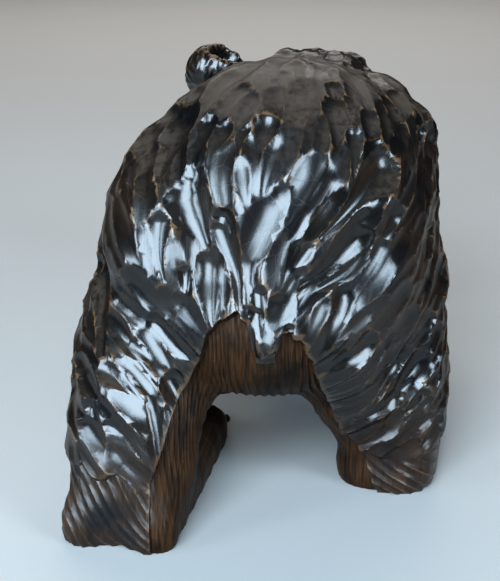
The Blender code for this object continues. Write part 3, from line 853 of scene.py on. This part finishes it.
class Nodes:
    """Short calls for building a material's node tree."""

    def __init__(self, tree):
        self.tree = tree

    def add(self, kind, settings=None, **inputs):
        """A node with its settings, and its inputs linked or set."""
        node = self.tree.nodes.new(kind)
        for name, value in (settings or {}).items():
            setattr(node, name, value)
        for name, value in inputs.items():
            socket = node.inputs[name.replace("_", " ")]
            if isinstance(value, bpy.types.NodeSocket):
                self.tree.links.new(value, socket)
            else:
                socket.default_value = value
        return node

    def attribute(self, name):
        """A mesh attribute as a number."""
        return self.add("ShaderNodeAttribute", {"attribute_name": name}).outputs["Fac"]

    def noise(self, coordinates, scale, detail=4.0, roughness=0.55):
        """Noise from 0 to 1."""
        return self.add("ShaderNodeTexNoise", Vector=coordinates, Scale=scale, Detail=detail,
                        Roughness=roughness).outputs["Fac"]

    def math(self, operation, first, second=0.0, clamp=False):
        """One sum, product or other step of two numbers."""
        node = self.tree.nodes.new("ShaderNodeMath")
        node.operation = operation
        node.use_clamp = clamp
        for socket, value in zip(node.inputs, (first, second)):
            if isinstance(value, bpy.types.NodeSocket):
                self.tree.links.new(value, socket)
            else:
                socket.default_value = value
        return node.outputs[0]

    def chain(self, operation, *values, clamp=False):
        """A sum or product of several numbers, worked out one after another."""
        result = values[0]
        for value in values[1:-1]:
            result = self.math(operation, result, value)
        return self.math(operation, result, values[-1], clamp)

    def ramp(self, value, low, high, to_low=0.0, to_high=1.0):
        """A number taken smoothly from one range to another."""
        node = self.add("ShaderNodeMapRange", {"interpolation_type": "SMOOTHSTEP"}, Value=value,
                        From_Min=low, From_Max=high, To_Min=to_low, To_Max=to_high)
        return node.outputs["Result"]

    def blend(self, share, first, second):
        """Two colours mixed by a share."""
        node = self.tree.nodes.new("ShaderNodeMix")
        node.data_type = "RGBA"
        for index, value in ((0, share), (6, first), (7, second)):
            if isinstance(value, bpy.types.NodeSocket):
                self.tree.links.new(value, node.inputs[index])
            else:
                node.inputs[index].default_value = value
        return node.outputs[2]


def colour(red, green, blue):
    """A colour for a node socket."""
    return (red, green, blue, 1.0)


def wood_patterns(nodes):
    """What the wood's colour, gloss and bumps are worked out from, by name."""
    place = nodes.add("ShaderNodeTexCoord").outputs["Object"]
    normal = nodes.add("ShaderNodeNewGeometry").outputs["Normal"]
    gouge = nodes.add("ShaderNodeUVMap", {"uv_map": "gouge"}).outputs["UV"]
    streak_place = nodes.add("ShaderNodeVectorMath", {"operation": "MULTIPLY"}, Vector=gouge)
    streak_place.inputs[1].default_value = STREAKS
    return {
        "place": place,
        "up": nodes.add("ShaderNodeSeparateXYZ", Vector=normal).outputs["Z"],
        "streaks": nodes.noise(streak_place.outputs[0], 1.0, 3.0),
        "clouds": nodes.noise(place, CLOUDS, 5.0),
        "grain": nodes.noise(place, GRAIN, 4.0),
        "pores": nodes.noise(place, PORES, 2.0),
        "tone": nodes.attribute("tone"),
        "ridge": nodes.attribute("ridge"),
        "brown": nodes.attribute("brown"),
    }


def wood_dust(nodes, seen):
    """How dusty the wood is: where it faces up, more in some cuts than in others."""
    return nodes.chain("MULTIPLY", nodes.ramp(seen["up"], 0.55, 0.95),
                       nodes.ramp(seen["grain"], 0.1, 0.7),
                       nodes.ramp(seen["tone"], 0.0, 0.6, 0.35, 0.8), nodes.attribute("dust"))


def wood_colour(nodes, seen, dust):
    """Dark lacquer, rubbed to brown wood in places, worn to tan on the ridges and dusty on top."""
    clouds, brown = seen["clouds"], seen["brown"]
    thick, thin = (colour(*shade) for shade in LACQUER)
    lacquer = nodes.blend(nodes.ramp(clouds, 0.35, 0.70), thick, thin)
    dark, light = (colour(*shade) for shade in BROWN)
    bare = nodes.blend(nodes.ramp(seen["streaks"], 0.3, 0.7), dark, light)
    rubbed = nodes.math("MULTIPLY", brown, nodes.ramp(clouds, 0.25, 0.60))
    surface = nodes.blend(rubbed, lacquer, bare)
    worn = nodes.chain("MULTIPLY", nodes.ramp(seen["ridge"], 0.07, 0.20),
                       nodes.ramp(clouds, 0.34, 0.56), nodes.ramp(brown, 0.0, 1.0, 0.9, 0.35),
                       nodes.ramp(seen["up"], 0.05, 0.55, 0.4, 1.2), clamp=True)
    surface = nodes.blend(worn, surface, colour(*WORN))
    return nodes.blend(dust, surface, colour(*DUST))


def wood_roughness(nodes, seen, dust):
    """Rougher in some cuts than in others, in scratches, where it is brown and where it is dusty."""
    cells = nodes.add("ShaderNodeTexVoronoi", {"feature": "DISTANCE_TO_EDGE"}, Vector=seen["place"],
                      Scale=SCRATCHES)
    scratch = nodes.ramp(cells.outputs["Distance"], 0.0, 0.030, 0.05, 0.0)
    return nodes.chain("ADD", nodes.ramp(seen["tone"], 0.0, 1.0, *SHEEN),
                       nodes.math("MULTIPLY", seen["streaks"], 0.05),
                       nodes.math("MULTIPLY", dust, 0.35), scratch,
                       nodes.math("MULTIPLY", seen["brown"], 0.25), clamp=True)


def wood_gloss(nodes, seen):
    """Strength of the reflections: full on the dark sides, weak on the back and where it is brown."""
    matt = nodes.math("MAXIMUM", nodes.math("MULTIPLY", seen["brown"], 0.85),
                      nodes.ramp(seen["up"], 0.55, 0.90, 0.0, 0.95))
    return nodes.math("MULTIPLY", nodes.math("SUBTRACT", 1.0, matt), 0.5)


def wood_bump(nodes, seen):
    """The fine unevenness of the wood under the lacquer."""
    height = nodes.chain("ADD", nodes.math("MULTIPLY", seen["streaks"], 0.5),
                         nodes.math("MULTIPLY", seen["grain"], 0.3),
                         nodes.math("MULTIPLY", seen["pores"], 0.3))
    strength, distance = BUMP
    bump = nodes.add("ShaderNodeBump", Height=height, Strength=strength, Distance=distance)
    return bump.outputs["Normal"]


def lacquered_wood():
    """Dark stained, lacquered wood: worn on its ridges, brown inside the legs, dusty on top."""
    material = bpy.data.materials.new("stained_wood")
    material.use_nodes = True
    tree = material.node_tree
    shader = tree.nodes["Principled BSDF"]
    nodes = Nodes(tree)
    seen = wood_patterns(nodes)
    dust = wood_dust(nodes, seen)
    for socket, value in (("Base Color", wood_colour(nodes, seen, dust)),
                          ("Roughness", wood_roughness(nodes, seen, dust)),
                          ("Specular IOR Level", wood_gloss(nodes, seen)),
                          ("Normal", wood_bump(nodes, seen))):
        tree.links.new(value, shader.inputs[socket])
    shader.inputs["IOR"].default_value = LACQUER_IOR
    return material


def wear(body):
    """Keep where the finish is rubbed through to brown, and where dust lies.

    It is brown under the tail, inside the legs, low on the legs and a little on the flanks. The
    dust lies on the rump and thinly in front of it.
    """
    places, normals = vertex_arrays(body.data)
    x, y, z = shares(places.T)
    hollow = bare_share(x, y, z)
    low = np.clip((0.28 - z) / 0.16, 0.0, 1.0) * 0.55
    flank = np.clip((np.abs(normals[:, 0]) - 0.55) / 0.35, 0.0, 1.0) * 0.45 * (z < BACK[0])
    rump = np.clip((y + 0.10) / 0.10, 0.0, 1.0)
    dust = body.data.attributes.new("dust", "FLOAT", "POINT")
    dust.data.foreach_set("value", 0.10 + 0.90 * rump)
    brown = body.data.attributes.new("brown", "FLOAT", "POINT")
    brown.data.foreach_set("value", np.maximum(np.maximum(hollow, low), flank))


def plain_paint(name, shade):
    """The floor's plain pale paint, with the slightest mottle."""
    material = bpy.data.materials.new(name)
    material.use_nodes = True
    nodes = Nodes(material.node_tree)
    place = nodes.add("ShaderNodeTexCoord").outputs["Object"]
    mottle = nodes.noise(place, 3.0)
    paint = nodes.blend(mottle, colour(*(value * 0.97 for value in shade)), colour(*shade))
    shader = material.node_tree.nodes["Principled BSDF"]
    material.node_tree.links.new(paint, shader.inputs["Base Color"])
    shader.inputs["Roughness"].default_value = 0.8
    return material


def floor():
    """A plain pale floor, wide enough to fill the picture."""
    bm = bmesh.new()
    bmesh.ops.create_grid(bm, x_segments=4, y_segments=4, size=FLOOR_SIZE)
    plane = new_object("floor", bm)
    plane.location.z = -FLOOR_DROP
    plane.data.materials.append(plain_paint("floor_paint", FLOOR_PAINT))


def softbox(name, place, target, size, power, tint):
    """A rectangular area light that faces a target."""
    light = bpy.data.lights.new(name, "AREA")
    light.shape = "RECTANGLE"
    light.size, light.size_y = size
    light.energy = power
    light.color = tint
    lamp = bpy.data.objects.new(name, light)
    lamp.location = place
    lamp.rotation_euler = (Vector(place) - Vector(target)).to_track_quat("Z", "Y").to_euler()
    bpy.context.scene.collection.objects.link(lamp)


def studio():
    """A tall cool window behind the camera, one at each side, a warm light in front, a dim room."""
    for name, place, target, size, power, tint in LIGHTS:
        softbox(name, place, target, size, power, tint)
    world = bpy.data.worlds.new("room")
    bpy.context.scene.world = world
    world.use_nodes = True
    background = world.node_tree.nodes["Background"]
    background.inputs["Color"].default_value = colour(*ROOM)
    background.inputs["Strength"].default_value = ROOM_STRENGTH


def camera(shift):
    """The photograph's view, from behind and a little above."""
    data = bpy.data.cameras.new("camera")
    data.sensor_width = SENSOR
    data.lens = FOCAL_PIXELS / LONG_SIDE * SENSOR
    eye = bpy.data.objects.new("camera", data)
    eye.location = Vector(CAMERA_PLACE) + shift
    eye.rotation_euler = CAMERA_TURN
    bpy.context.scene.collection.objects.link(eye)
    bpy.context.scene.camera = eye


def main():
    """Carve and finish the bear, and set up the studio."""
    bear = carved_bear()
    wear(bear)
    shift = place_in_frame(bear)
    bear.data.materials.clear()
    bear.data.materials.append(lacquered_wood())
    bear.data.shade_smooth()
    bear.data.set_sharp_from_angle(angle=SHARP)
    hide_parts("bear")
    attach(bear, "root")
    floor()
    studio()
    camera(shift)
    bpy.context.scene.view_settings.view_transform = "Standard"


main()
